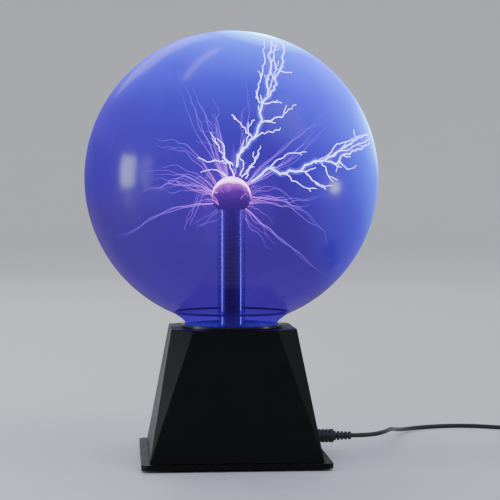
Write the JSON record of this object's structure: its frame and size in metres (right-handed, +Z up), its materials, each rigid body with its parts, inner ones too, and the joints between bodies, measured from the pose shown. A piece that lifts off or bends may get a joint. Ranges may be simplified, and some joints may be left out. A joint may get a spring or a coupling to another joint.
{
  "type": "plasma ball lamp",
  "caption": "Glass globe with a central electrode on a tapered square base, a rear rocker switch and a plug-in low-voltage lead with a wall adapter.",
  "frame": {"origin": "bottom centre of the base, on the plane of the rubber feet, under the globe's axis", "axes": "+X right, towards the lead's inlet; -Y front; +Z up along the globe's axis"},
  "size_m": [0.3734, 0.2296, 0.291],
  "materials": {
    "base_housing": "moulded black, satin sheen",
    "bottom_cover": "moulded black, fine grain",
    "rubber_foot": "soft black rubber",
    "cover_screw": "zinc plated",
    "board_screws": "zinc plated",
    "neck_collar": "moulded black",
    "silicone_bead": "translucent silicone",
    "glass_globe": "clear glass with a blue glow inside",
    "stem_tube": "clear glass tube",
    "exhaust_tip": "sealed glass tip",
    "electrode_bulb": "glass with a violet glow",
    "electrode_filling": "packed steel wool",
    "contact_spring": "coiled spring wire",
    "spring_cup": "turned brass",
    "driver_board": "green solder mask",
    "ferrite_core": "dark grey ferrite",
    "coil_bobbin": "off-white moulding",
    "high_voltage_winding": "varnished fine wire",
    "primary_winding": "enamelled copper wire",
    "high_voltage_lead": "red silicone lead",
    "heat_sink": "extruded",
    "power_transistor": "black package, tinned tab",
    "transistor_screw": "zinc plated",
    "capacitor": "dark blue sleeve",
    "film_capacitor": "dipped red case",
    "resistors": "banded beige bodies",
    "control_chip": "black package",
    "microphone": "pressed can",
    "inlet_body": "black moulding",
    "inlet_pin": "plated pin",
    "switch_housing": "black moulding",
    "switch_terminal": "tinned brass blade",
    "switch_wires": "insulated wire",
    "switch_rocker": "black moulding",
    "switch_plunger": "white nylon",
    "switch_contact_bar": "stamped contact strip",
    "plug_sleeve": "nickel plated",
    "plug_core": "black insulator",
    "plug_body": "overmoulded vinyl",
    "plug_strain_relief": "overmoulded vinyl",
    "power_cord": "round vinyl lead",
    "cord_coil": "round vinyl lead, wound",
    "adapter_cord": "round vinyl lead",
    "coil_tie": "coated wire tie",
    "adapter_lower": "textured black case",
    "adapter_upper": "textured black case",
    "adapter_prongs": "nickel plated blades",
    "adapter_strain_relief": "overmoulded vinyl"
  },
  "bodies": {
    "base": {"base_housing": "base_housing", "bottom_cover": "bottom_cover", "rubber_foot_1": "rubber_foot", "rubber_foot_2": "rubber_foot", "rubber_foot_3": "rubber_foot", "rubber_foot_4": "rubber_foot", "cover_screw_1": "cover_screw", "cover_screw_2": "cover_screw", "cover_screw_3": "cover_screw", "cover_screw_4": "cover_screw", "board_screws": "board_screws", "neck_collar": "neck_collar", "silicone_bead": "silicone_bead", "glass_globe": "glass_globe", "stem_tube": "stem_tube", "exhaust_tip": "exhaust_tip", "electrode_bulb": "electrode_bulb", "electrode_filling": "electrode_filling", "contact_spring": "contact_spring", "spring_cup": "spring_cup", "driver_board": "driver_board", "ferrite_core_lower": "ferrite_core", "ferrite_core_upper": "ferrite_core", "coil_bobbin": "coil_bobbin", "high_voltage_winding": "high_voltage_winding", "primary_winding": "primary_winding", "high_voltage_lead": "high_voltage_lead", "heat_sink": "heat_sink", "power_transistor": "power_transistor", "transistor_screw": "transistor_screw", "capacitor_1": "capacitor", "capacitor_2": "capacitor", "capacitor_3": "capacitor", "film_capacitor": "film_capacitor", "resistors": "resistors", "control_chip": "control_chip", "microphone": "microphone", "inlet_body": "inlet_body", "inlet_pin": "inlet_pin", "switch_housing": "switch_housing", "switch_terminal_1": "switch_terminal", "switch_terminal_2": "switch_terminal", "switch_terminal_3": "switch_terminal", "switch_wires": "switch_wires"},
    "rocker": {"switch_rocker": "switch_rocker", "switch_plunger": "switch_plunger"},
    "contact": {"switch_contact_bar": "switch_contact_bar"},
    "power_lead": {"plug_sleeve": "plug_sleeve", "plug_core": "plug_core", "plug_body": "plug_body", "plug_strain_relief": "plug_strain_relief", "power_cord": "power_cord", "cord_coil": "cord_coil", "adapter_cord": "adapter_cord", "coil_tie": "coil_tie", "adapter_lower": "adapter_lower", "adapter_upper": "adapter_upper", "adapter_prongs": "adapter_prongs", "adapter_strain_relief": "adapter_strain_relief"}
  },
  "joints": [
    {"name": "rocker_tilt", "type": "hinge", "parent": "base", "child": "rocker", "pos_m": [0, 0.05294, 0.028], "axis": [1, 0, 0], "range_deg": [-10, 10]},
    {"name": "contact_tilt", "type": "hinge", "parent": "base", "child": "contact", "pos_m": [0, 0.04432, 0.02648], "axis": [1, 0, 0], "range_deg": [-5, 5]},
    {"name": "lead_unplug", "type": "slide", "parent": "base", "child": "power_lead", "axis": [1, 0, 0], "range_m": [0, 0.012]}
  ],
  "couplings": [
    {"joint": "contact_tilt", "follows": "rocker_tilt", "ratio": -0.5}
  ]
}
